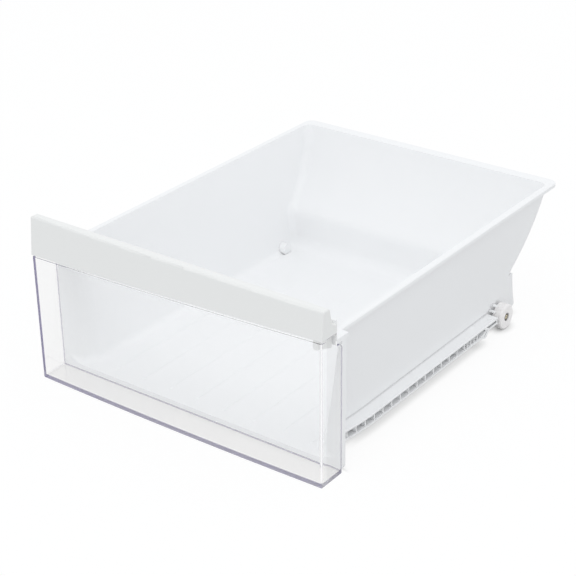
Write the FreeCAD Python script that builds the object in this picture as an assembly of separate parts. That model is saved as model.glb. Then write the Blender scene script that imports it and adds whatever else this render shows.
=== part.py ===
"""Fridge crisper drawer: moulded tub with side rails, clear front cover, handle trim and two rear rollers.

X runs to the right as seen from the front, Y runs to the back and Z is up. Depths are measured back from the
two ends of the front, which bows out between them. The whole drawer is moved at the end so that its origin is
the middle of its footprint.
"""
import FreeCAD, Part
import math
import os

from FreeCAD import Vector

# Overall sizes, in millimetres
front_width = 376.0
overall_depth = 491.5
overall_height = 193.5
front_bow = 2.5
match_distance = 0.01

# Tub
tub_wall = 2.5
floor_height = 7.5
side_draft = 7.4
bottom_corner_radius = 12.0
rear_overhang = 68.0
rear_kink_height = 57.0
rear_kink_radius = 14.0
rear_foot_radius = 18.0
rear_bulge = 9.0
fin_reach = 22.0
fin_hollow = 1.5
fin_foot_gap = 4.5
fin_foot_radius = 4.0
fin_wall = 2.5

# Rim of the tub
rim_side_inset = 10.5
rim_drop = 40.3
rim_side_lip = 4.8
rim_rear_lip = 12.0
rim_plate = 2.5
rim_edge_drop = 4.4
rim_edge_wall = 2.0
rim_corner_radius = 11.0
rim_edge_bevel = 0.8

# Front frame of the tub
frame_side_inset = 2.0
frame_depth = 34.0
frame_plate = 2.5
frame_lip = 9.0
frame_foot_gap = 1.0
frame_corner_radius = 5.0
mouth_radius = 28.0
shelf_drop = 4.7
shelf_depth = 22.0
upright_depth = 25.0
upright_rise = 21.8

# Side rails of the tub
rail_side_inset = 17.0
rail_top = 23.5
rail_height = 12.0
rail_plate = 2.2
rail_edge_bevel = 0.6
rail_ramp_length = 88.5
rail_ramp_radius = 400.0
rail_rib_wall = 1.5
rail_rib_pitch = 16.5
rail_rib_inset = 1.0
fine_rib_pitch = 6.8
fine_rib_count = 4
catch_setback = 59.0
catch_length = 18.5
catch_drop = 2.6
catch_tip_start = 8.3
catch_tip_end = 13.0
catch_brace_foot = 10.2
catch_brace_wall = 1.3
catch_slit = 1.5
catch_slit_start = 7.4
catch_slit_end = 13.3
rail_rear_raise = 4.2
guard_plate = 1.5
guard_length = 4.0
guard_gap = 1.3
guard_inset = 7.0
guard_low_angle = 30.0
guard_high_angle = 50.0

# Rollers and their pins
axle_setback = 28.0
roller_diameter = 30.0
roller_width = 11.0
roller_edge_bevel = 1.2
roller_recess_diameter = 10.5
roller_recess_depth = 2.2
roller_rail_gap = 6.5
roller_side_gap = 0.3
pin_diameter = 5.0
pin_head_diameter = 8.0
pin_head_length = 1.6
pin_running_clearance = 0.05
pin_seat_clearance = 0.01
boss_diameter = 15.0
inner_boss_length = 9.0
inner_boss_skin = 1.5

# Clear front cover
cover_side_inset = 1.0
cover_front_inset = 1.4
cover_wall = 3.0
cover_floor = 4.5
cover_edge_radius = 0.6
cover_corner_radius = 6.0
cover_gap = 0.3
groove_height = 2.0
groove_depth = 1.0

# Handle trim
trim_left_skirt = 43.5
trim_right_skirt = 30.5
trim_lean = 3.5
trim_blade = 9.0
trim_taper = 3.0
trim_depth = 24.8
trim_wall = 2.4
trim_top_radius = 2.2
grip_drop = 14.0
grip_curve = 7.5
tongue_width = 5.6
tongue_inset = 7.0
tongue_drop = 12.6
tongue_slope = 5.8
tongue_hold = 7.0
tongue_rounding = 2.7

# Derived places
reach = 2 * front_width
rim_height = overall_height - rim_drop
shelf_height = rim_height - shelf_drop
upright_top = rim_height + upright_rise
rim_half = front_width / 2 - rim_side_inset
frame_half = front_width / 2 - frame_side_inset
rail_outer = front_width / 2 - rail_side_inset
back_edge = overall_depth - front_bow
rear_low = back_edge - rear_overhang
rear_top = back_edge - rim_rear_lip
wall_top_half = rim_half - rim_side_lip
draft_slope = math.tan(math.radians(side_draft))
frame_back = frame_depth + frame_plate
lip_back = frame_depth + frame_lip
shelf_back = upright_depth + shelf_depth
axle_depth = rear_low - axle_setback
roller_radius = roller_diameter / 2
axle_height = roller_radius
roller_outer = rail_outer
roller_inner = roller_outer - roller_width
rail_end = axle_depth - roller_radius - roller_rail_gap
catch_depth = axle_depth - catch_setback
bow_radius = (front_width ** 2 / 4 + front_bow ** 2) / (2 * front_bow)
trim_bottom_left = overall_height - trim_left_skirt
trim_bottom_right = overall_height - trim_right_skirt
cover_back = frame_depth - cover_gap


def wall_half(z, inset=0.0):
    """Half width of the drafted tub at a height, measured inset into the wall."""
    return wall_top_half - (rim_height - z) * draft_slope - inset / math.cos(math.radians(side_draft))


def box(x0, x1, y0, y1, z0, z1):
    """Box between two corners."""
    return Part.makeBox(x1 - x0, y1 - y0, z1 - z0, Vector(x0, y0, z0))


def side_face(edges):
    """Face from edges that lie in the side plane."""
    return Part.Face(Part.Wire(edges))


def side_line(start, end):
    """Straight edge between two depth and height pairs."""
    return Part.LineSegment(Vector(0, *start), Vector(0, *end)).toShape()


def side_arc(start, middle, end):
    """Arc through three depth and height pairs."""
    return Part.Arc(Vector(0, *start), Vector(0, *middle), Vector(0, *end)).toShape()


def side_polygon(points):
    """Face with straight sides in the side plane."""
    return side_face([side_line(a, b) for a, b in zip(points, points[1:] + points[:1])])


def across(face, x0, x1):
    """Solid from a side face that runs from one width to another."""
    return face.translated(Vector(x0, 0, 0)).extrude(Vector(x1 - x0, 0, 0))


def along(points):
    """Solid with straight sides, from width and height pairs, that runs the whole depth of the drawer."""
    corners = [Vector(x, 0, z) for x, z in points + points[:1]]
    return Part.Face(Part.makePolygon(corners)).extrude(Vector(0, overall_depth, 0))


def mirrored(shape):
    """The same shape on the other side of the drawer."""
    return shape.mirror(Vector(0, 0, 0), Vector(1, 0, 0))


def fillet_where(shape, radius, chosen):
    """Rounds the edges whose middle satisfies a test."""
    edges = [edge for edge in shape.Edges if chosen(edge)]
    return shape.makeFillet(radius, edges)


def bevel_where(shape, size, chosen):
    """Bevels the edges whose middle satisfies a test."""
    edges = [edge for edge in shape.Edges if chosen(edge)]
    return shape.makeChamfer(size, edges)


def middle(edge):
    """Middle point of an edge."""
    return edge.valueAt((edge.FirstParameter + edge.LastParameter) / 2)


def at(value, target):
    """Whether a coordinate lies on a plane."""
    return abs(value - target) < match_distance


def rear_curve():
    """Centre and radius of the bulging upper rear wall, in depth and height."""
    run = rear_top - rear_low
    rise = rim_height - rear_kink_height
    chord = math.hypot(run, rise)
    radius = chord ** 2 / (8 * rear_bulge) + rear_bulge / 2
    to_centre = radius - rear_bulge
    centre_y = (rear_low + rear_top) / 2 - to_centre * rise / chord
    centre_z = (rear_kink_height + rim_height) / 2 + to_centre * run / chord
    return centre_y, centre_z, radius


def rear_outline(inset, front, top):
    """Side face of the filled tub, measured inset into its walls, and the kink in its rear wall."""
    centre_y, centre_z, radius = rear_curve()
    radius -= inset
    low = rear_low - inset
    floor = floor_height + inset

    def on_curve(angle):
        return centre_y + radius * math.cos(angle), centre_z + radius * math.sin(angle)

    kink_angle = -math.acos((low - centre_y) / radius)
    rim_angle = math.asin((rim_height - centre_z) / radius)
    kink, half_way, rim_point = (on_curve(a) for a in (kink_angle, (kink_angle + rim_angle) / 2, rim_angle))
    edges = [side_line((front, floor), (low, floor)),
             side_line((low, floor), kink),
             side_arc(kink, half_way, rim_point)]
    corner = rim_point
    if top > rim_height:
        corner = (rim_point[0], top)
        edges.append(side_line(rim_point, corner))
    edges += [side_line(corner, (front, top)), side_line((front, top), (front, floor))]
    return side_face(edges), kink


def tub_block(inset, top):
    """The tub as a filled block, measured inset into its walls, with its mouth curved out to the frame."""
    floor = floor_height + inset
    low = rear_low - inset
    mouth_plane = frame_depth + tub_wall - inset
    outline, kink = rear_outline(inset, 0, top)
    block = across(outline, -reach, reach)
    block = fillet_where(block, rear_kink_radius + inset,
                         lambda e: at(middle(e).y, kink[0]) and at(middle(e).z, kink[1]))
    block = fillet_where(block, rear_foot_radius - inset,
                         lambda e: at(middle(e).y, low) and at(middle(e).z, floor))
    low_half, top_half = wall_half(floor, inset), wall_half(top, inset)
    block = block.common(along([(-low_half, floor), (low_half, floor), (top_half, top), (-top_half, top)]))
    block = block.fuse(box(-reach, reach, 0, mouth_plane, floor, top)).removeSplitter()

    def on_wall(edge):
        point = middle(edge)
        return at(abs(point.x), wall_half(point.z, inset))

    block = fillet_where(block, mouth_radius - tub_wall + inset,
                         lambda e: on_wall(e) and at(middle(e).y, mouth_plane))
    return fillet_where(block, bottom_corner_radius - inset,
                        lambda e: on_wall(e) and middle(e).y > mouth_plane + match_distance
                        and middle(e).z < top - match_distance)


def rim():
    """Rim plate with its turned-down edge, open in the middle once the tub is hollowed."""

    def slab(inset, z0, z1):
        block = box(-rim_half + inset, rim_half - inset, frame_back, back_edge - inset, z0, z1)
        return fillet_where(block, rim_corner_radius - inset,
                            lambda e: at(middle(e).y, back_edge - inset)
                            and at(abs(middle(e).x), rim_half - inset))

    plate = slab(0, rim_height - rim_edge_drop, rim_height)
    plate = bevel_where(plate, rim_edge_bevel,
                        lambda e: at(middle(e).z, rim_height) and not at(middle(e).y, frame_back))
    return plate.cut(slab(rim_edge_wall, rim_height - rim_edge_drop, rim_height - rim_plate))


def frame_plate_with_lip():
    """Flat plate round the window, with a lip turned back at its sides and bottom."""

    def slab(inset, y0, y1):
        foot = frame_foot_gap + inset
        block = box(-frame_half + inset, frame_half - inset, y0, y1, foot, rim_height)
        return fillet_where(block, frame_corner_radius - inset,
                            lambda e: at(middle(e).z, foot) and at(abs(middle(e).x), frame_half - inset))

    return slab(0, frame_depth, lip_back).cut(slab(frame_plate, frame_back, lip_back))


def hollow_tub():
    """Tub walls, rim and frame, hollowed as one."""
    behind_cover = box(-frame_half, frame_half, frame_depth, overall_depth, 0, rim_height)
    outside = tub_block(0, rim_height).common(behind_cover)
    return outside.fuse([frame_plate_with_lip(), rim()]).cut(tub_block(tub_wall, rim_height + 2 * tub_wall))


def front_shelf():
    """Beam across the top of the window with an ear at each end, and the upright behind the trim."""
    inside = frame_half - frame_plate
    beam = box(-frame_half, frame_half, upright_depth, shelf_back, shelf_height, rim_height)
    under = box(-inside, inside, upright_depth + frame_plate, shelf_back - rim_edge_wall,
                shelf_height, rim_height - rim_plate)
    upright = box(-frame_half, frame_half, upright_depth, upright_depth + frame_plate,
                  shelf_height, upright_top)
    return beam.cut(under).fuse(upright)


def ramp(depth):
    """How far the rail has risen at a depth: it lifts towards the front so that the closed drawer settles."""
    before = max(0.0, frame_back + rail_ramp_length - depth)
    return rail_ramp_radius - math.sqrt(rail_ramp_radius ** 2 - before ** 2)


def rail_strip(z0, z1, end):
    """Side face of the rail between two heights, following the ramp."""
    ramp_start = frame_back + rail_ramp_length
    ramp_middle = frame_back + rail_ramp_length / 2
    lift, half_lift = ramp(frame_back), ramp(ramp_middle)
    return side_face([side_arc((frame_back, z0 + lift), (ramp_middle, z0 + half_lift), (ramp_start, z0)),
                      side_line((ramp_start, z0), (end, z0)),
                      side_line((end, z0), (end, z1)),
                      side_line((end, z1), (ramp_start, z1)),
                      side_arc((ramp_start, z1), (ramp_middle, z1 + half_lift), (frame_back, z1 + lift)),
                      side_line((frame_back, z1 + lift), (frame_back, z0 + lift))])


def rail_rib_depths():
    """Depths of the cross ribs: an even row, then a closer row in front of the catch."""
    fine_start = catch_depth - (fine_rib_count + 1) * fine_rib_pitch
    count = int((fine_start - lip_back) / rail_rib_pitch)
    even = [fine_start - i * rail_rib_pitch for i in range(count + 1)]
    fine = [fine_start + (i + 1) * fine_rib_pitch for i in range(fine_rib_count)]
    return even + fine


def rail_catch():
    """Side face of the stop catch: a tooth on the lower flange, with a slit so that it can give."""
    bottom = rail_top - rail_height
    tip = bottom - catch_drop
    rear_bottom = bottom + rail_rear_raise
    rear_plate = rear_bottom + rail_plate
    end = catch_depth + catch_length
    tip_start, tip_end = catch_depth + catch_tip_start, catch_depth + catch_tip_end
    slit_low, slit_high = catch_depth + catch_slit_start, catch_depth + catch_slit_end
    tooth = side_polygon([(catch_depth, bottom), (tip_start, tip), (tip_end, tip), (end, rear_bottom),
                          (end, rear_plate), (tip_start, rail_top), (tip_start - catch_brace_wall, rail_top),
                          (catch_depth + catch_brace_foot, rear_plate), (catch_depth, bottom + rail_plate)])
    slit = side_polygon([(slit_low, bottom), (slit_low + catch_slit, bottom),
                         (slit_high + catch_slit, rear_plate), (slit_high, rear_plate)])
    return tooth.cut(slit).Faces[0]


def rail():
    """Right rail: a ledge, a lower flange, cross ribs, a stop catch and two guard ribs by the roller."""
    root = wall_half(floor_height) - tub_wall
    bottom = rail_top - rail_height
    rear_bottom = bottom + rail_rear_raise
    ledge = across(rail_strip(rail_top - rail_plate, rail_top, rail_end), root, rail_outer)
    ledge = bevel_where(ledge, rail_edge_bevel,
                        lambda e: at(middle(e).x, rail_outer)
                        and at(middle(e).z, rail_top + ramp(middle(e).y)))
    flange = across(rail_strip(bottom, bottom + rail_plate, catch_depth + rail_plate), root, rail_outer)
    ribs = []
    rib_edge = rail_outer - rail_rib_inset
    for depth in rail_rib_depths():
        lift = ramp(depth)
        ribs.append(box(root, rib_edge, depth - rail_rib_wall / 2, depth + rail_rib_wall / 2,
                        bottom + lift + rail_plate / 2, rail_top + lift - rail_plate / 2))
    rear_start = catch_depth + catch_length - rail_plate
    rear_flange = box(root, rail_outer, rear_start, rail_end, rear_bottom, rear_bottom + rail_plate)
    closing = box(root, rib_edge, rail_end - rail_rib_wall, rail_end, rear_bottom, rail_top)
    catch = across(rail_catch(), root, rail_outer)
    return ledge.fuse([flange, catch, rear_flange, closing] + ribs + guard_ribs(root))


def guard_ribs(root):
    """Two short ribs stepped up the wall in front of the right roller."""
    guards = []
    away = roller_radius + guard_gap + guard_length
    for angle in (guard_low_angle, guard_high_angle):
        depth = axle_depth - away * math.cos(math.radians(angle))
        height = axle_height + away * math.sin(math.radians(angle))
        guards.append(box(root, rail_outer - guard_inset, depth, depth + guard_length,
                          height, height + guard_plate))
    return guards


def axle_cylinder(radius, x0, x1):
    """Cylinder on the right roller's axis."""
    return Part.makeCylinder(radius, x1 - x0, Vector(x0, axle_depth, axle_height), Vector(1, 0, 0))


def pin_inner_end():
    """Width at which the pin stops inside the inner boss."""
    return wall_half(axle_height, tub_wall) - inner_boss_length + inner_boss_skin


def rear_fin():
    """Right stiffening fin that carries the side wall on behind the roller, down to a rounded foot."""
    ahead = rear_low - bottom_corner_radius
    heel = rear_low + fin_reach
    rise = rear_kink_height - fin_foot_gap
    chord = math.hypot(fin_reach, rise)
    half_way = (rear_low + fin_reach / 2 - fin_hollow * rise / chord,
                fin_foot_gap + rise / 2 - fin_hollow * fin_reach / chord)
    outline = side_face([side_line((ahead, fin_foot_gap), (ahead, rear_kink_height)),
                         side_line((ahead, rear_kink_height), (rear_low, rear_kink_height)),
                         side_arc((rear_low, rear_kink_height), half_way, (heel, fin_foot_gap)),
                         side_line((heel, fin_foot_gap), (ahead, fin_foot_gap))])
    blade = fillet_where(across(outline, 0, reach), fin_foot_radius,
                         lambda e: at(middle(e).y, heel) and at(middle(e).z, fin_foot_gap))
    low, high = wall_half(fin_foot_gap), wall_half(rear_kink_height)
    low_inner, high_inner = wall_half(fin_foot_gap, fin_wall), wall_half(rear_kink_height, fin_wall)
    slab = along([(low_inner, fin_foot_gap), (low, fin_foot_gap),
                  (high, rear_kink_height), (high_inner, rear_kink_height)])
    return blade.common(slab).cut(tub_block(tub_wall / 2, rim_height))


def drawer_tub():
    """The whole white moulding."""
    wall_at_axle = wall_half(axle_height)
    right_rail = rail().cut(tub_block(tub_wall / 2, rim_height))
    outer_boss = axle_cylinder(boss_diameter / 2, wall_at_axle - tub_wall, roller_inner - roller_side_gap)
    inner_end = wall_half(axle_height, tub_wall) - inner_boss_length
    inner_boss = axle_cylinder(boss_diameter / 2, inner_end, wall_at_axle - tub_wall / 2)
    boss = outer_boss.fuse(inner_boss.cut(box(0, reach, 0, overall_depth, 0, floor_height + tub_wall / 2)))
    bore = axle_cylinder(pin_diameter / 2 + pin_seat_clearance, pin_inner_end(), rail_outer)
    right_side = right_rail.fuse([boss, rear_fin()])
    solid = hollow_tub().fuse([front_shelf(), right_side, mirrored(right_side)])
    return solid.cut([bore, mirrored(bore)]).removeSplitter()


def axle_pin():
    """Right pin: a plain shank with a flat head that keeps the roller on."""
    head_start = roller_outer - roller_recess_depth
    head_end = head_start + pin_head_length
    shank = axle_cylinder(pin_diameter / 2, pin_inner_end(), head_start + pin_head_length / 2)
    head = axle_cylinder(pin_head_diameter / 2, head_start + pin_running_clearance, head_end)
    return shank.fuse(head).removeSplitter()


def roller():
    """Right roller: tread bevelled on the outside and a recess for the head of the pin."""
    body = axle_cylinder(roller_radius, roller_inner, roller_outer)
    body = bevel_where(body, roller_edge_bevel, lambda e: at(middle(e).x, roller_outer))
    bore = axle_cylinder(pin_diameter / 2 + pin_running_clearance, roller_inner, roller_outer)
    recess = axle_cylinder(roller_recess_diameter / 2, roller_outer - roller_recess_depth, roller_outer)
    return body.cut([bore, recess])


def slant_cut(gap, above):
    """Everything above or below the slanting line between cover and trim, kept a gap away from it."""
    half = front_width / 2
    slope = (trim_bottom_right - trim_bottom_left) / front_width
    end_rise = slope * (reach - half)
    left, right = trim_bottom_left - end_rise - gap, trim_bottom_right + end_rise - gap
    far = 2 * overall_height if above else -overall_height
    face = Part.Face(Part.makePolygon([Vector(-reach, -reach, left), Vector(reach, -reach, right),
                                       Vector(reach, -reach, far), Vector(-reach, -reach, far),
                                       Vector(-reach, -reach, left)]))
    return face.extrude(Vector(0, 2 * reach, 0))


def bow_cylinder(inset):
    """Upright cylinder whose front is the bowed front of the drawer, set back by an inset."""
    base = Vector(0, bow_radius - front_bow, -overall_height / 2)
    return Part.makeCylinder(bow_radius - inset, 2 * overall_height, base)


def cover_notch():
    """Room for the tub's beam and upright, with a rounded corner left on the sides of the cover."""
    front = upright_depth - cover_gap
    top = shelf_height - cover_gap
    bend_start = cover_back - cover_corner_radius
    bend_end = top - cover_corner_radius
    bend = cover_corner_radius * math.cos(math.pi / 4)
    far_back, far_up = 2 * cover_back, 2 * overall_height
    outline = side_face([side_line((front, top), (bend_start, top)),
                         side_arc((bend_start, top), (bend_start + bend, bend_end + bend),
                                  (cover_back, bend_end)),
                         side_line((cover_back, bend_end), (far_back, bend_end)),
                         side_line((far_back, bend_end), (far_back, far_up)),
                         side_line((far_back, far_up), (front, far_up)),
                         side_line((front, far_up), (front, top))])
    return across(outline, -reach, reach)


def joint_groove():
    """Shallow step along the top of the pane, which leaves a fine groove under the trim."""
    return slant_cut(cover_gap + groove_height, True).cut(bow_cylinder(cover_front_inset + groove_depth))


def clear_front():
    """Clear cover: front pane, two sides and a floor, open at the top under the trim and at the back."""
    half = front_width / 2 - cover_side_inset
    inner = half - cover_wall
    ahead = -2 * front_bow
    outside = box(-half, half, ahead, cover_back, 0, overall_height).common(bow_cylinder(cover_front_inset))
    outside = fillet_where(outside, cover_edge_radius,
                           lambda e: not at(middle(e).y, cover_back) and not at(middle(e).z, overall_height))
    inside = box(-inner, inner, ahead, 2 * cover_back, cover_floor, 2 * overall_height)
    inside = inside.common(bow_cylinder(cover_front_inset + cover_wall))
    return outside.cut([inside, slant_cut(cover_gap, True), cover_notch(), joint_groove()]).removeSplitter()


def trim_profile(inset):
    """Side outline of the trim, measured inset into its walls, with the finger hollow at the back."""
    blade_back = trim_lean + trim_blade - inset
    top = overall_height - inset
    grip_top = overall_height - grip_drop
    grip_bottom = grip_top - grip_curve - inset
    back = trim_depth - inset
    hollow_start = blade_back + trim_taper
    run = back - hollow_start
    drop = grip_top - grip_bottom
    near = (hollow_start + run * (1 - math.cos(math.pi / 4)), grip_top - drop * math.sin(math.pi / 4))
    low = trim_bottom_left - trim_wall
    return side_face([side_line((-reach, low), (-reach, top)), side_line((-reach, top), (blade_back, top)),
                      side_line((blade_back, top), (hollow_start, grip_top)),
                      side_arc((hollow_start, grip_top), near, (back, grip_bottom)),
                      side_line((back, grip_bottom), (back, low)), side_line((back, low), (-reach, low))])


def trim_block(inset):
    """The trim as a filled block with its leaning, bowed front."""
    half = front_width / 2 - inset
    low = trim_bottom_left - trim_wall
    crown = (trim_bottom_left + trim_bottom_right) / 2
    lean_slope = trim_lean / (overall_height - crown)
    radius_low = bow_radius + (crown - low) * lean_slope - inset
    radius_high = bow_radius - trim_lean - inset
    base = Vector(0, bow_radius - front_bow, low)
    front = Part.makeCone(radius_low, radius_high, overall_height - low, base)
    return across(trim_profile(inset), -half, half).common(front)


def trim_tongue():
    """Right tongue that hangs from the trim inside the cover and keeps it in place."""
    x0 = front_width / 2 - tongue_inset - tongue_width
    front = cover_front_inset + cover_wall + cover_gap
    back = trim_depth - trim_wall / 2
    bottom = trim_bottom_right - tongue_drop
    top = trim_bottom_right + tongue_hold
    outline = side_polygon([(front, bottom), (back, bottom - tongue_slope), (back, top), (front, top)])
    return fillet_where(across(outline, x0, x0 + tongue_width), tongue_rounding,
                        lambda e: at(middle(e).z, bottom - tongue_slope / 2))


def handle_trim():
    """Hollow cap over the top of the front, cut off below on a slant."""
    outside = trim_block(0)
    outside = fillet_where(outside, trim_top_radius, lambda e: at(middle(e).z, overall_height))
    shell = outside.cut([trim_block(trim_wall), slant_cut(0, False)])
    tongue = trim_tongue()
    return shell.fuse([tongue, mirrored(tongue)]).removeSplitter()


def save(name, shape):
    """Writes one piece, moved so that the origin is the middle of the footprint."""
    to_middle = Vector(0, front_bow - overall_depth / 2, 0)
    shape.translated(to_middle).exportStep(os.path.join("parts", name + ".step"))


def main():
    os.makedirs("parts", exist_ok=True)
    save("drawer_tub", drawer_tub())
    save("clear_front", clear_front())
    save("handle_trim", handle_trim())
    for side, shape in (("right", axle_pin()), ("left", mirrored(axle_pin()))):
        save("axle_pin_" + side, shape)
    for side, shape in (("right", roller()), ("left", mirrored(roller()))):
        save("roller_" + side, shape)


main()
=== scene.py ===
"""Looks of the fridge crisper drawer: materials, clear cover, floor ridges, studio and camera."""

import math

import bmesh
import bpy
from mathutils import Matrix, Vector


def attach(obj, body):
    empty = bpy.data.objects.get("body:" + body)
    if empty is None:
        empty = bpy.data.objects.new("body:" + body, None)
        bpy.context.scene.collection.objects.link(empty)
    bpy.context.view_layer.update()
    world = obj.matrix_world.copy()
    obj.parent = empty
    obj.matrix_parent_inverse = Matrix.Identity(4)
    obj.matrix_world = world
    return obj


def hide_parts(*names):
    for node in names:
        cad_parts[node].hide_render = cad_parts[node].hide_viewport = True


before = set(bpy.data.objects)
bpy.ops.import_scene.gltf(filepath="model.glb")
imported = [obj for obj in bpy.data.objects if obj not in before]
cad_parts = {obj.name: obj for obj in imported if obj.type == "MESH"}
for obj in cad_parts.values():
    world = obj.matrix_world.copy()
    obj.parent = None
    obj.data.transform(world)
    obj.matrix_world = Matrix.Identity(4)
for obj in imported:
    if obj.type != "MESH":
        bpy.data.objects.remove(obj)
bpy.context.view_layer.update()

# Lengths are in metres, or in millimetres where the name says so
MM = 0.001

# Camera, found from the photograph's straight edges
PHOTO_SIDE_PX = 576
FOCAL_PX = 1555.263
CAMERA_PLACE_MM = (918.145, -1271.564, 858.827)
CAMERA_AZIMUTH = math.radians(36.766)
CAMERA_ELEVATION = math.radians(26.853)
CAMERA_ROLL = math.radians(-0.7116)
CAMERA_REACH = 50.0
SENSOR_MM = 36.0

# Studio light
LIGHT_BOUNCES = 32
WORLD_STRENGTH = 0.94
WORLD_TINT = (0.97, 0.985, 1.0)
KEY_LAMP_WATTS = 4.4
KEY_LAMP_PLACE = (0.5, -0.2, 1.9)
KEY_LAMP_AIM = (0, 0, 0)
KEY_LAMP_SIZE = 1.8
FILL_LAMP_WATTS = 1.9
FILL_LAMP_PLACE = (-0.3, -2.2, 0.4)
FILL_LAMP_AIM = (0, 0, 0.1)
FILL_LAMP_SIZE = 0.7

# Studio floor. Its contact shade starts behind the clear cover
FLOOR_SIDE = 12.0
FLOOR_DROP = 0.0002
FLOOR_BOUNCE = 0.70
FLOOR_SHADE = 0.10
FLOOR_GLOW = 0.90
CONTACT_GLOW = 0.15
CONTACT_REACH = 0.0155
CONTACT_OPENNESS = 0.85
CONTACT_START_Y = (-0.207, -0.190)

# Opaque plastics: darkest and lightest tone, range of roughness, and scale and depth of the grain
TUB_TONES = ((0.900, 0.905, 0.912), (0.915, 0.920, 0.927))
TRIM_TONES = ((0.840, 0.845, 0.835), (0.860, 0.865, 0.855))
ROLLER_TONES = ((0.925, 0.905, 0.900), (0.940, 0.920, 0.915))
SATIN_ROUGHNESS = (0.42, 0.55)
ROLLER_ROUGHNESS = (0.35, 0.5)
FINE_GRAIN = (1500.0, 0.00004)
TRIM_GRAIN = (2200.0, 0.00006)
GRAIN_STRENGTH = 0.25
CLOUD_SCALE = 14.0

# Shade in the narrow corners of the mouldings
CREASE_REACH = 0.005
CREASE_TONE = 0.40
CREASE_OPENNESS = (0.15, 0.62)
CREASE_SAMPLES = 6

# Styrene of the clear cover: tint, clearness and range of roughness
CLEAR_STYRENE = ((0.998, 0.998, 0.998), 1.0, (0.015, 0.05))
# The cut rims' dark violet, less clear than the rest, is painted shade
SHADED_CUT_STYRENE = ((0.14, 0.12, 0.26), 0.40, (0.15, 0.25))
# The sole is rough from scuffing, and its grey tint is painted shadow from under the drawer
SCUFFED_SHADED_STYRENE = ((0.72, 0.715, 0.71), 0.8, (0.10, 0.20))
# The side walls' grey tint is painted shade
SHADED_SIDE_STYRENE = ((0.86, 0.86, 0.86), 1.0, (0.02, 0.06))
STYRENE_IOR = 1.5
FLOW_SCALE = 9.0

# Roller pins: depth and height of their axis, radius of their heads, and the rings as shares of that
# radius; the dark outer ring is painted shade of the hub's recess
PIN_AXIS_MM = (149.75, 15.0)
PIN_HEAD_RADIUS_MM = 4.0
PIN_DARK = (0.05, 0.045, 0.04)
PIN_BRIGHT = (0.62, 0.56, 0.40)
PIN_RINGS = ((0.0, PIN_DARK), (0.20, PIN_DARK), (0.27, PIN_BRIGHT),
             (0.58, PIN_BRIGHT), (0.68, PIN_DARK), (1.0, PIN_DARK))
PIN_ROUGHNESS = (0.25, 0.5)
WEAR_SCALE = 900.0

# Clear cover, drawn finer than its solid: drafted walls and softly rounded edges. Depths run back from the
# ends of the front
FRONT_ORIGIN_MM = -243.25
BOW_RADIUS_MM = 7070.05
BOW_CROWN_MM = 2.5
COVER_TOP_HALF_MM = 187.98
COVER_FOOT_HALF_MM = 187.8
COVER_TOP_INSET_MM = 0.05
COVER_FOOT_INSET_MM = 0.4
COVER_DRAFT_HEIGHT_MM = 150.0
COVER_WALL_MM = 3.0
COVER_FLOOR_MM = 4.5
COVER_EDGE_MM = 1.8
COVER_INNER_EDGE_MM = 0.8
COVER_LEFT_TOP_MM = 149.7
COVER_RIGHT_TOP_MM = 162.7
COVER_REAR_MM = 33.7
COVER_NOTCH_DEPTH_MM = 24.7
COVER_NOTCH_FRONT_MM = 24.6
COVER_NOTCH_TOP_MM = 148.2
COVER_NOTCH_ROUND_MM = 6.0
COVER_JOINT_DEPTH_MM = 1.0
COVER_JOINT_HEIGHT_MM = 2.0
COVER_FRONT_PARTS = 32
COVER_SIDE_PARTS = 3
COVER_NOTCH_STEPS = 6
COVER_EDGE_STEPS = 5
COVER_WALL_STEPS = 8
COVER_SHARP_ANGLE = math.radians(35)
MERGE_DISTANCE = 1e-7
RIM_INDEX = 1
SOLE_INDEX = 2
SIDE_INDEX = 3

# Low ridges on the drawer's floor, each with a pip at its front end
FLOOR_TOP_MM = 10.0
RIDGE_COUNT = 8
RIDGE_PITCH_MM = 37.4
FIRST_RIDGE_X_MM = -121.6
RIDGE_FRONT_MM = -193.8
RIDGE_REAR_MM = 152.0
RIDGE_HALF_WIDTH_MM = 1.3
RIDGE_RISE_MM = 0.05
PIP_RADIUS_MM = 2.6
PIP_RISE_MM = 0.7
RIDGE_SEAT_MM = 0.05
RIDGE_SIDE_POINTS = 9
PIP_STEPS = 12


def add_object(name, data):
    """Links a mesh, lamp or camera as a new object."""
    obj = bpy.data.objects.new(name, data)
    bpy.context.scene.collection.objects.link(obj)
    return obj


def add_shape(name, shape):
    """Turns a finished bmesh into a new object."""
    mesh = bpy.data.meshes.new(name)
    shape.to_mesh(mesh)
    shape.free()
    return add_object(name, mesh)


def new_material(name):
    """Material with an empty node tree: (material, nodes, links, output)."""
    mat = bpy.data.materials.new(name)
    mat.use_nodes = True
    nodes, links = mat.node_tree.nodes, mat.node_tree.links
    nodes.clear()
    out = nodes.new("ShaderNodeOutputMaterial")
    return mat, nodes, links, out


def noise_value(nodes, links, scale, detail):
    """Noise in object space, so that its grain keeps its real size."""
    coords = nodes.new("ShaderNodeTexCoord")
    noise = nodes.new("ShaderNodeTexNoise")
    noise.inputs["Scale"].default_value = scale
    noise.inputs["Detail"].default_value = detail
    links.new(coords.outputs["Object"], noise.inputs["Vector"])
    return noise.outputs["Fac"]


def ramp_colour(nodes, links, factor, stops):
    """Colour from a ramp of (place, colour) stops that run from 0 to 1."""
    ramp = nodes.new("ShaderNodeValToRGB")
    elements = ramp.color_ramp.elements
    elements[0].color = (*stops[0][1], 1)
    elements[1].color = (*stops[-1][1], 1)
    for place, colour in stops[1:-1]:
        elements.new(place).color = (*colour, 1)
    links.new(factor, ramp.inputs["Fac"])
    return ramp.outputs["Color"]


def mapped_value(nodes, links, value, low, high, span=(0.0, 1.0)):
    """Maps a value from its span into a range."""
    node = nodes.new("ShaderNodeMapRange")
    node.inputs["From Min"].default_value = span[0]
    node.inputs["From Max"].default_value = span[1]
    node.inputs["To Min"].default_value = low
    node.inputs["To Max"].default_value = high
    links.new(value, node.inputs["Value"])
    return node.outputs["Result"]


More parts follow.
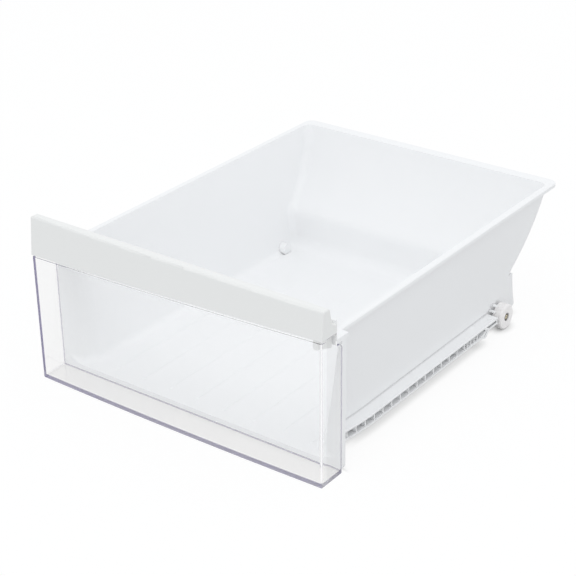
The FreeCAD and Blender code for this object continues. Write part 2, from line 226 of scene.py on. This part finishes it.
def larger_value(nodes, links, first, second):
    """The larger of two values."""
    node = nodes.new("ShaderNodeMath")
    node.operation = "MAXIMUM"
    links.new(first, node.inputs[0])
    links.new(second, node.inputs[1])
    return node.outputs["Value"]


def crease_shade(nodes, links, colour):
    """Darkens a colour in narrow corners and cells with painted shade."""
    near = nodes.new("ShaderNodeAmbientOcclusion")
    near.only_local = True
    near.samples = CREASE_SAMPLES
    near.inputs["Distance"].default_value = CREASE_REACH
    depth = mapped_value(nodes, links, near.outputs["AO"], CREASE_TONE, 1.0, CREASE_OPENNESS)
    shade = nodes.new("ShaderNodeVectorMath")
    shade.operation = "SCALE"
    links.new(colour, shade.inputs[0])
    links.new(depth, shade.inputs["Scale"])
    return shade.outputs["Vector"]


def moulded_plastic(name, tones, roughness, grain):
    """Opaque moulded plastic: faint cloudiness, a fine moulded grain, uneven gloss and painted shade in its
    narrow corners.
    """
    mat, nodes, links, out = new_material(name)
    shader = nodes.new("ShaderNodeBsdfPrincipled")
    cloud = noise_value(nodes, links, CLOUD_SCALE, 3.0)
    grain_scale, grain_depth = grain
    bumps = noise_value(nodes, links, grain_scale, 2.0)
    colour = ramp_colour(nodes, links, cloud, ((0.0, tones[0]), (1.0, tones[1])))
    # Painted shade in the narrow corners and cells darkens the base colour
    links.new(crease_shade(nodes, links, colour), shader.inputs["Base Color"])
    gloss = mapped_value(nodes, links, cloud, roughness[0], roughness[1])
    links.new(gloss, shader.inputs["Roughness"])
    bump = nodes.new("ShaderNodeBump")
    bump.inputs["Strength"].default_value = GRAIN_STRENGTH
    bump.inputs["Distance"].default_value = grain_depth
    links.new(bumps, bump.inputs["Height"])
    links.new(bump.outputs["Normal"], shader.inputs["Normal"])
    links.new(shader.outputs["BSDF"], out.inputs["Surface"])
    return mat


def clear_plastic(name, colour, clearness, roughness):
    """Styrene, from clear to cloudy, with slow waves in its polish."""
    mat, nodes, links, out = new_material(name)
    shader = nodes.new("ShaderNodeBsdfPrincipled")
    shader.inputs["Base Color"].default_value = (*colour, 1.0)
    shader.inputs["Transmission Weight"].default_value = clearness
    shader.inputs["IOR"].default_value = STYRENE_IOR
    flow = noise_value(nodes, links, FLOW_SCALE, 2.0)
    gloss = mapped_value(nodes, links, flow, roughness[0], roughness[1])
    links.new(gloss, shader.inputs["Roughness"])
    links.new(shader.outputs["BSDF"], out.inputs["Surface"])
    return mat


def ringed_steel(name):
    """Steel in rings round the pin's axis: a dark centre dot, a bright face and a dark outer ring that is
    painted shade of the hub's recess.
    """
    mat, nodes, links, out = new_material(name)
    shader = nodes.new("ShaderNodeBsdfPrincipled")
    shader.inputs["Metallic"].default_value = 1.0
    coords = nodes.new("ShaderNodeTexCoord")
    across = nodes.new("ShaderNodeVectorMath")
    across.operation = "MULTIPLY_ADD"
    across.inputs[1].default_value = (0, 1, 1)
    across.inputs[2].default_value = (0, -PIN_AXIS_MM[0] * MM, -PIN_AXIS_MM[1] * MM)
    links.new(coords.outputs["Object"], across.inputs[0])
    radius = nodes.new("ShaderNodeVectorMath")
    radius.operation = "LENGTH"
    links.new(across.outputs["Vector"], radius.inputs[0])
    head = (0.0, PIN_HEAD_RADIUS_MM * MM)
    share = mapped_value(nodes, links, radius.outputs["Value"], 0.0, 1.0, head)
    # The outer dark ring of the head is painted shade of the hub's recess
    links.new(ramp_colour(nodes, links, share, PIN_RINGS), shader.inputs["Base Color"])
    wear = noise_value(nodes, links, WEAR_SCALE, 3.0)
    gloss = mapped_value(nodes, links, wear, PIN_ROUGHNESS[0], PIN_ROUGHNESS[1])
    links.new(gloss, shader.inputs["Roughness"])
    links.new(shader.outputs["BSDF"], out.inputs["Surface"])
    return mat


def ridge_station(y, half_width, rise):
    """One cross-section of a floor ridge: a soft swelling that is seated just below the floor's surface."""
    seat = FLOOR_TOP_MM - RIDGE_SEAT_MM
    ring = []
    for i in range(RIDGE_SIDE_POINTS):
        angle = math.pi * i / (RIDGE_SIDE_POINTS - 1)
        swell = math.sin(angle) ** 2
        ring.append((half_width * math.cos(angle), y, seat + (rise + RIDGE_SEAT_MM) * swell))
    return ring


def ridge_stations():
    """Cross-sections of one ridge from its pip to its rear end."""
    middle = RIDGE_FRONT_MM + PIP_RADIUS_MM
    stations = []
    for i in range(1, PIP_STEPS):
        along = -math.cos(math.pi * i / PIP_STEPS)
        swell = math.sqrt(1 - along * along)
        width = PIP_RADIUS_MM * swell
        rise = PIP_RISE_MM * swell
        if along > 0:
            width = max(width, RIDGE_HALF_WIDTH_MM)
            rise = max(rise, RIDGE_RISE_MM)
        stations.append(ridge_station(middle + PIP_RADIUS_MM * along, width, rise))
    stations.append(ridge_station(RIDGE_REAR_MM - RIDGE_HALF_WIDTH_MM, RIDGE_HALF_WIDTH_MM, RIDGE_RISE_MM))
    stations.append(ridge_station(RIDGE_REAR_MM, RIDGE_HALF_WIDTH_MM / 2, RIDGE_SEAT_MM))
    return stations


def add_ridge(shape, x):
    """Adds one closed ridge at a width."""
    rings = []
    for station in ridge_stations():
        rings.append([shape.verts.new(((x + px) * MM, y * MM, z * MM)) for px, y, z in station])
    for near, far in zip(rings, rings[1:]):
        for i in range(RIDGE_SIDE_POINTS):
            j = (i + 1) % RIDGE_SIDE_POINTS
            shape.faces.new((near[i], near[j], far[j], far[i]))
    shape.faces.new(rings[0][::-1])
    shape.faces.new(rings[-1])


def build_floor_ridges(material):
    """The low ridges that keep food off the drawer's floor."""
    shape = bmesh.new()
    for i in range(RIDGE_COUNT):
        add_ridge(shape, FIRST_RIDGE_X_MM + i * RIDGE_PITCH_MM)
    bmesh.ops.recalc_face_normals(shape, faces=shape.faces)
    for face in shape.faces:
        face.smooth = True
    piece = add_shape("floor_ridges", shape)
    piece.data.materials.append(material)
    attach(piece, "drawer")


def quarter_turn(steps):
    """Angles from 0 to a quarter turn, in equal steps."""
    return [math.pi / 2 * i / steps for i in range(steps + 1)]


def cover_front(x, z):
    """Depth of the cover's bowed front, which leans back a little toward its foot."""
    up = min(1.0, z / COVER_DRAFT_HEIGHT_MM)
    inset = COVER_FOOT_INSET_MM + (COVER_TOP_INSET_MM - COVER_FOOT_INSET_MM) * up
    return BOW_RADIUS_MM - BOW_CROWN_MM - math.sqrt((BOW_RADIUS_MM - inset) ** 2 - x * x)


def cover_half(z):
    """Half width of the cover at a height."""
    up = min(1.0, z / COVER_DRAFT_HEIGHT_MM)
    return COVER_FOOT_HALF_MM + (COVER_TOP_HALF_MM - COVER_FOOT_HALF_MM) * up


def cover_side_depths():
    """Depths of a side's places from its rear end: round the notch, down its front and on to the corner."""
    round_start = COVER_REAR_MM - COVER_NOTCH_ROUND_MM
    turns = reversed(quarter_turn(COVER_NOTCH_STEPS))
    depths = [round_start + COVER_NOTCH_ROUND_MM * math.sin(turn) for turn in turns]
    depths.append(COVER_NOTCH_DEPTH_MM)
    depths += [COVER_NOTCH_FRONT_MM * i / COVER_SIDE_PARTS for i in range(COVER_SIDE_PARTS, 0, -1)]
    return depths


def cover_stations():
    """Places round the cover from its left rear end to its right rear end: (kind, side, place)."""
    left = [("side", -1, depth) for depth in cover_side_depths()]
    left += [("corner", -1, turn) for turn in reversed(quarter_turn(COVER_EDGE_STEPS))]
    right = [(kind, 1, place) for kind, side, place in reversed(left)]
    front = [("front", 0, 2 * i / COVER_FRONT_PARTS - 1) for i in range(1, COVER_FRONT_PARTS)]
    return left + front + right


def cover_point(station, offset, z):
    """Point of the cover at a station and height, a distance in from its outer face."""
    kind, side, place = station
    half = cover_half(z) - offset
    radius = max(COVER_EDGE_MM - offset, COVER_INNER_EDGE_MM)
    if kind == "side":
        x = side * half
        depth = place
    elif kind == "front":
        x = place * (half - radius)
        depth = cover_front(x, z) + offset
    else:
        x = side * (half - radius + radius * math.sin(place))
        depth = cover_front(half - radius, z) + offset + radius * (1 - math.cos(place))
    return x * MM, (depth + FRONT_ORIGIN_MM) * MM, z * MM


def cover_top(station):
    """Height of the cover at a station: the trim's slanting edge, or the notch behind it."""
    kind, side, place = station
    if kind == "side" and place >= COVER_NOTCH_DEPTH_MM:
        past = max(0.0, place - COVER_REAR_MM + COVER_NOTCH_ROUND_MM)
        drop = COVER_NOTCH_ROUND_MM - math.sqrt(max(0.0, COVER_NOTCH_ROUND_MM ** 2 - past ** 2))
        return COVER_NOTCH_TOP_MM - drop
    across = place if kind == "front" else side
    return COVER_LEFT_TOP_MM + (COVER_RIGHT_TOP_MM - COVER_LEFT_TOP_MM) * (across + 1) / 2


def cover_column(station):
    """Points at one station, from the foot up the outer face, over the top and down to the inner floor."""
    top = cover_top(station)
    joint = 0.0 if station[0] == "side" else COVER_JOINT_DEPTH_MM
    turns = quarter_turn(COVER_EDGE_STEPS)
    outer_end = top - COVER_JOINT_HEIGHT_MM
    inner_end = COVER_FLOOR_MM + COVER_INNER_EDGE_MM
    rows = [(COVER_EDGE_MM * (1 - math.sin(turn)), COVER_EDGE_MM * (1 - math.cos(turn))) for turn in turns]
    for i in range(1, COVER_WALL_STEPS + 1):
        rows.append((0.0, COVER_EDGE_MM + (outer_end - COVER_EDGE_MM) * i / COVER_WALL_STEPS))
    rows += [(joint, outer_end), (joint, top)]
    for i in range(COVER_WALL_STEPS):
        rows.append((COVER_WALL_MM, top + (inner_end - top) * i / COVER_WALL_STEPS))
    for turn in turns:
        rows.append((COVER_WALL_MM + COVER_INNER_EDGE_MM * (1 - math.cos(turn)),
                     COVER_FLOOR_MM + COVER_INNER_EDGE_MM * (1 - math.sin(turn))))
    return [cover_point(station, offset, z) for offset, z in rows]


def cover_faces(shape):
    """Faces of the cover: its walls, column by column, then its sole, its inner floor and its rear rim."""
    stations = cover_stations()
    columns = [[shape.verts.new(point) for point in cover_column(station)] for station in stations]
    top_row = COVER_EDGE_STEPS + COVER_WALL_STEPS + 2
    for station, near, far in zip(stations, columns, columns[1:]):
        kind, side, place = station
        for row in range(len(near) - 1):
            face = shape.faces.new((near[row], near[row + 1], far[row + 1], far[row]))
            face.smooth = True
            # The outer faces of the sides take the styrene tinted grey with painted shade
            if kind == "side" and row < top_row:
                face.material_index = SIDE_INDEX
            # The top of the notch's rim takes the cut styrene painted dark with shade
            if kind == "side" and row == top_row and place > COVER_NOTCH_DEPTH_MM:
                face.material_index = RIM_INDEX
    # The sole takes the scuffed styrene tinted grey with painted shadow
    sole = shape.faces.new([column[0] for column in columns])
    sole.material_index = SOLE_INDEX
    shape.faces.new([column[-1] for column in columns])
    # The rear rim takes the cut styrene painted dark with shade
    rear = shape.faces.new(columns[0] + columns[-1][::-1])
    rear.material_index = RIM_INDEX


def build_clear_cover(clear, rim, sole, side):
    """The clear cover: one shallow open box with cut rims at its rear painted dark with shade, a scuffed
    sole tinted grey with painted shadow, and sides tinted grey with painted shade.
    """
    shape = bmesh.new()
    cover_faces(shape)
    bmesh.ops.remove_doubles(shape, verts=shape.verts, dist=MERGE_DISTANCE)
    bmesh.ops.recalc_face_normals(shape, faces=shape.faces)
    for edge in shape.edges:
        edge.smooth = edge.calc_face_angle(0.0) < COVER_SHARP_ANGLE
    cover = add_shape("clear_cover", shape)
    for material in (clear, rim, sole, side):
        cover.data.materials.append(material)
    cover.visible_shadow = False
    cover.visible_diffuse = False
    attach(cover, "drawer")
    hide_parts("clear_front")


def dress(node, material):
    """Gives a carried-over solid its material."""
    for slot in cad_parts[node].material_slots:
        slot.material = material


def dress_drawer():
    """Materials of the carried-over solids, and the pieces that only the scene has."""
    tub = moulded_plastic("tub_white", TUB_TONES, SATIN_ROUGHNESS, FINE_GRAIN)
    trim = moulded_plastic("trim_grey", TRIM_TONES, SATIN_ROUGHNESS, TRIM_GRAIN)
    roller = moulded_plastic("roller_white", ROLLER_TONES, ROLLER_ROUGHNESS, FINE_GRAIN)
    steel = ringed_steel("pin_steel")
    dress("drawer_tub", tub)
    dress("handle_trim", trim)
    for hand in ("left", "right"):
        dress("roller_" + hand, roller)
        dress("axle_pin_" + hand, steel)
    build_floor_ridges(tub)
    clear = clear_plastic("clear_styrene", *CLEAR_STYRENE)
    # Cut rims painted dark with shade
    rim = clear_plastic("shaded_cut_styrene", *SHADED_CUT_STYRENE)
    # Scuffed sole tinted grey with painted shadow
    sole = clear_plastic("scuffed_shaded_styrene", *SCUFFED_SHADED_STYRENE)
    # Side walls tinted grey with painted shade
    side = clear_plastic("shaded_side_styrene", *SHADED_SIDE_STYRENE)
    build_clear_cover(clear, rim, sole, side)


def seen_by_eye(nodes, links):
    """1 for rays from the camera, straight or by way of a mirror or clear plastic."""
    path = nodes.new("ShaderNodeLightPath")
    seen = larger_value(nodes, links, path.outputs["Is Camera Ray"], path.outputs["Is Glossy Ray"])
    return larger_value(nodes, links, seen, path.outputs["Is Transmission Ray"])


def build_world():
    """Even studio light, seen as plain white."""
    world = bpy.data.worlds.new("studio")
    bpy.context.scene.world = world
    world.use_nodes = True
    nodes, links = world.node_tree.nodes, world.node_tree.links
    nodes.clear()
    out = nodes.new("ShaderNodeOutputWorld")
    light = nodes.new("ShaderNodeBackground")
    light.inputs["Color"].default_value = (*WORLD_TINT, 1)
    light.inputs["Strength"].default_value = WORLD_STRENGTH
    white = nodes.new("ShaderNodeBackground")
    white.inputs["Color"].default_value = (1, 1, 1, 1)
    white.inputs["Strength"].default_value = 1.0
    mix = nodes.new("ShaderNodeMixShader")
    links.new(seen_by_eye(nodes, links), mix.inputs["Fac"])
    links.new(light.outputs["Background"], mix.inputs[1])
    links.new(white.outputs["Background"], mix.inputs[2])
    links.new(mix.outputs["Shader"], out.inputs["Surface"])


def floor_glow(nodes, links):
    """Glow of the floor as the camera sees it, with a painted contact shadow close to the rails and
    rollers.
    """
    contact = nodes.new("ShaderNodeAmbientOcclusion")
    contact.inputs["Distance"].default_value = CONTACT_REACH
    coords = nodes.new("ShaderNodeTexCoord")
    place = nodes.new("ShaderNodeSeparateXYZ")
    links.new(coords.outputs["Object"], place.inputs["Vector"])
    under_cover = mapped_value(nodes, links, place.outputs["Y"], 1.0, 0.0, CONTACT_START_Y)
    open_sky = larger_value(nodes, links, contact.outputs["AO"], under_cover)
    return mapped_value(nodes, links, open_sky, CONTACT_GLOW, FLOOR_GLOW, (0.0, CONTACT_OPENNESS))


def floor_material():
    """White that keeps a soft shadow and a painted contact shadow where the camera sees it, and bounces
    plain light elsewhere.
    """
    mat, nodes, links, out = new_material("studio_white")
    bounce = nodes.new("ShaderNodeBsdfDiffuse")
    bounce.inputs["Color"].default_value = (FLOOR_BOUNCE, FLOOR_BOUNCE, FLOOR_BOUNCE, 1)
    shade = nodes.new("ShaderNodeBsdfDiffuse")
    shade.inputs["Color"].default_value = (FLOOR_SHADE, FLOOR_SHADE, FLOOR_SHADE, 1)
    glow = nodes.new("ShaderNodeEmission")
    links.new(floor_glow(nodes, links), glow.inputs["Strength"])
    seen = nodes.new("ShaderNodeAddShader")
    links.new(shade.outputs["BSDF"], seen.inputs[0])
    links.new(glow.outputs["Emission"], seen.inputs[1])
    mix = nodes.new("ShaderNodeMixShader")
    links.new(seen_by_eye(nodes, links), mix.inputs["Fac"])
    links.new(bounce.outputs["BSDF"], mix.inputs[1])
    links.new(seen.outputs["Shader"], mix.inputs[2])
    links.new(mix.outputs["Shader"], out.inputs["Surface"])
    return mat


def build_floor():
    """White floor just under the drawer; the clear cover casts no shadow on it."""
    half = FLOOR_SIDE / 2
    corners = [(-half, -half), (half, -half), (half, half), (-half, half)]
    mesh = bpy.data.meshes.new("studio_floor")
    mesh.from_pydata([(x, y, -FLOOR_DROP) for x, y in corners], [], [(0, 1, 2, 3)])
    mesh.materials.append(floor_material())
    floor = add_object("studio_floor", mesh)


def add_lamp(name, place, target, size, watts):
    """Square soft lamp aimed at a point."""
    data = bpy.data.lights.new(name, "AREA")
    data.size = size
    data.energy = watts
    lamp = add_object(name, data)
    lamp.location = place
    lamp.rotation_euler = (Vector(target) - Vector(place)).to_track_quat("-Z", "Y").to_euler()


def build_lamps():
    """One large soft lamp above, a little to the right, and a weak one in front."""
    add_lamp("key_lamp", KEY_LAMP_PLACE, KEY_LAMP_AIM, KEY_LAMP_SIZE, KEY_LAMP_WATTS)
    add_lamp("front_fill", FILL_LAMP_PLACE, FILL_LAMP_AIM, FILL_LAMP_SIZE, FILL_LAMP_WATTS)


def build_camera():
    """The photograph's camera."""
    data = bpy.data.cameras.new("photo_camera")
    data.sensor_width = SENSOR_MM
    data.lens = FOCAL_PX / PHOTO_SIDE_PX * SENSOR_MM
    data.clip_end = CAMERA_REACH
    back = Vector((math.sin(CAMERA_AZIMUTH) * math.cos(CAMERA_ELEVATION),
                   -math.cos(CAMERA_AZIMUTH) * math.cos(CAMERA_ELEVATION), math.sin(CAMERA_ELEVATION)))
    level = Vector((math.cos(CAMERA_AZIMUTH), math.sin(CAMERA_AZIMUTH), 0))
    up = back.cross(level)
    right = math.cos(CAMERA_ROLL) * level + math.sin(CAMERA_ROLL) * up
    top = math.cos(CAMERA_ROLL) * up - math.sin(CAMERA_ROLL) * level
    turn = Matrix((right, top, back)).transposed().to_4x4()
    camera = add_object("photo_camera", data)
    camera.matrix_world = Matrix.Translation(Vector(CAMERA_PLACE_MM) * MM) @ turn
    bpy.context.scene.camera = camera


def set_render():
    """Plain colours, and light paths long and sharp enough for the clear cover."""
    bpy.context.scene.view_settings.view_transform = "Standard"
    cycles = bpy.context.scene.cycles
    cycles.blur_glossy = 0.0
    cycles.max_bounces = LIGHT_BOUNCES
    cycles.glossy_bounces = LIGHT_BOUNCES
    cycles.transmission_bounces = LIGHT_BOUNCES


set_render()
dress_drawer()
build_world()
build_floor()
build_lamps()
build_camera()
